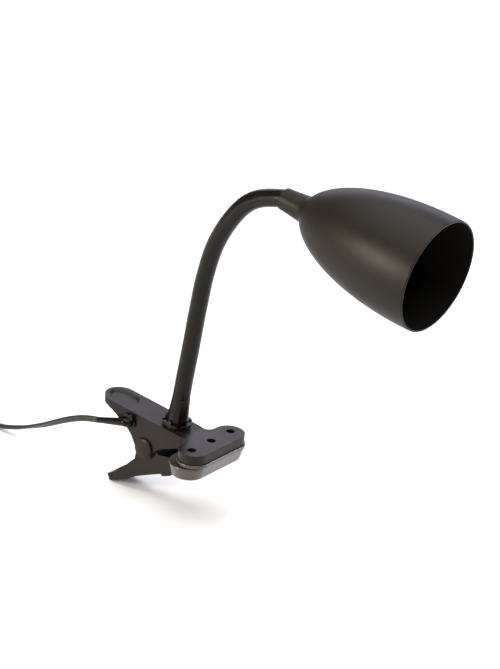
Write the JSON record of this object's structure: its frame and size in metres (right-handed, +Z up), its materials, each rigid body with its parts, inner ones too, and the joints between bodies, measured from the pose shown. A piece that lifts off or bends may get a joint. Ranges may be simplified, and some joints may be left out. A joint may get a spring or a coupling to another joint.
{
  "type": "clip-on reading lamp",
  "caption": "Clip-on reading lamp: spring clamp with soft jaws, flexible gooseneck, bullet-shaped shade over an E14 lamp holder, mains lead with inline rocker switch and plug.",
  "frame": {"origin": "middle of the grip plane between the two pads, on the line of the upper jaw's three holes", "axes": "+Z up, +X forward the way the jaws point, +Y across the jaws to the left"},
  "size_m": [0.4983, 0.0981, 0.262],
  "materials": {
    "clamp_plastic": "satin",
    "pad_pvc": "smooth, slightly translucent",
    "spring_steel": "bare wire",
    "sleeve_pvc": "gloss",
    "hose_steel": "satin",
    "shade_paint": "satin",
    "holder_plastic": "matt",
    "contact_brass": "satin",
    "cord_pvc": "satin",
    "switch_plastic": "satin",
    "rocker_plastic": "gloss"
  },
  "bodies": {
    "clamp": {"upper_arm": "clamp_plastic", "upper_pad": "pad_pvc", "pivot_pin": "clamp_plastic", "pivot_cap": "clamp_plastic", "jaw_spring": "spring_steel", "neck_socket": "clamp_plastic", "neck_boot": "sleeve_pvc", "neck_base_ferrule": "hose_steel", "neck_washer": "hose_steel", "neck_nut": "hose_steel", "hose_link_1": "hose_steel", "sleeve_1": "sleeve_pvc", "clamp_lead": "cord_pvc", "cord_grommet": "cord_pvc", "cord_saddle": "clamp_plastic", "saddle_screws": "spring_steel", "cord_lead": "cord_pvc", "switch_reliefs": "cord_pvc", "switch_base": "switch_plastic", "switch_cover": "switch_plastic", "switch_contacts": "contact_brass", "switch_screws": "spring_steel", "cord_mid": "cord_pvc", "cord_coil": "cord_pvc", "cord_tie": "switch_plastic", "cord_end": "cord_pvc", "plug_relief": "cord_pvc", "plug_body": "switch_plastic", "plug_pins": "hose_steel"},
    "lower_arm": {"lower_arm": "clamp_plastic", "lower_pad": "pad_pvc"},
    "neck_2": {"hose_link_2": "hose_steel", "sleeve_2": "sleeve_pvc"},
    "neck_3": {"hose_link_3": "hose_steel", "sleeve_3": "sleeve_pvc"},
    "neck_4": {"hose_link_4": "hose_steel", "sleeve_4": "sleeve_pvc"},
    "neck_5": {"hose_link_5": "hose_steel", "sleeve_5": "sleeve_pvc"},
    "neck_6": {"hose_link_6": "hose_steel", "sleeve_6": "sleeve_pvc"},
    "neck_7": {"hose_link_7": "hose_steel", "sleeve_7": "sleeve_pvc"},
    "head": {"hose_link_8": "hose_steel", "sleeve_8": "sleeve_pvc", "neck_top_ferrule": "hose_steel", "head_nut": "hose_steel", "shade": "shade_paint", "holder_cap": "holder_plastic", "holder_body": "holder_plastic", "screw_shell": "contact_brass", "centre_contact": "contact_brass", "holder_terminals": "contact_brass", "head_leads": "cord_pvc"},
    "rocker": {"switch_rocker": "rocker_plastic"}
  },
  "joints": [
    {"name": "jaw_hinge", "type": "hinge", "parent": "clamp", "child": "lower_arm", "pos_m": [-0.0462, 0, -0.0092], "axis": [0, 1, 0], "range_deg": [0, 32], "stiffness_Nm_per_rad": 1.2, "springref_deg": -34.38, "deforming": ["jaw_spring"]},
    {"name": "neck_lean", "type": "hinge", "parent": "clamp", "child": "neck_2", "pos_m": [-0.02642, 0, 0.03987], "axis": [0, 1, 0], "range_deg": [-15, 12]},
    {"name": "neck_sway", "type": "hinge", "parent": "neck_2", "child": "neck_3", "pos_m": [-0.023, 0, 0.06766], "axis": [0.9936, 0, -0.1132], "range_deg": [-15, 15]},
    {"name": "neck_lean_2", "type": "hinge", "parent": "neck_3", "child": "neck_4", "pos_m": [-0.01983, 0, 0.09548], "axis": [0, 1, 0], "range_deg": [-15, 12]},
    {"name": "neck_sway_2", "type": "hinge", "parent": "neck_4", "child": "neck_5", "pos_m": [-0.01584, 0, 0.1232], "axis": [0.9898, 0, -0.1426], "range_deg": [-15, 15]},
    {"name": "neck_bow", "type": "hinge", "parent": "neck_5", "child": "neck_6", "pos_m": [-0.00882, 0, 0.14816], "axis": [0, 1, 0], "range_deg": [-15, 8]},
    {"name": "neck_bow_2", "type": "hinge", "parent": "neck_6", "child": "neck_7", "pos_m": [0.00452, 0, 0.17156], "axis": [0, 1, 0], "range_deg": [-15, 8]},
    {"name": "neck_bow_3", "type": "hinge", "parent": "neck_7", "child": "head", "pos_m": [0.01911, 0, 0.18506], "axis": [0, 1, 0], "range_deg": [-15, 8]},
    {"name": "switch_rock", "type": "hinge", "parent": "clamp", "child": "rocker", "pos_m": [-0.234, -0.004, -0.032], "axis": [0, -1, 0], "range_deg": [0, 14]}
  ],
  "couplings": [
    {"joint": "neck_lean_2", "follows": "neck_lean", "ratio": 1},
    {"joint": "neck_sway_2", "follows": "neck_sway", "ratio": 1},
    {"joint": "neck_bow_2", "follows": "neck_bow", "ratio": 1},
    {"joint": "neck_bow_3", "follows": "neck_bow", "ratio": 1}
  ]
}
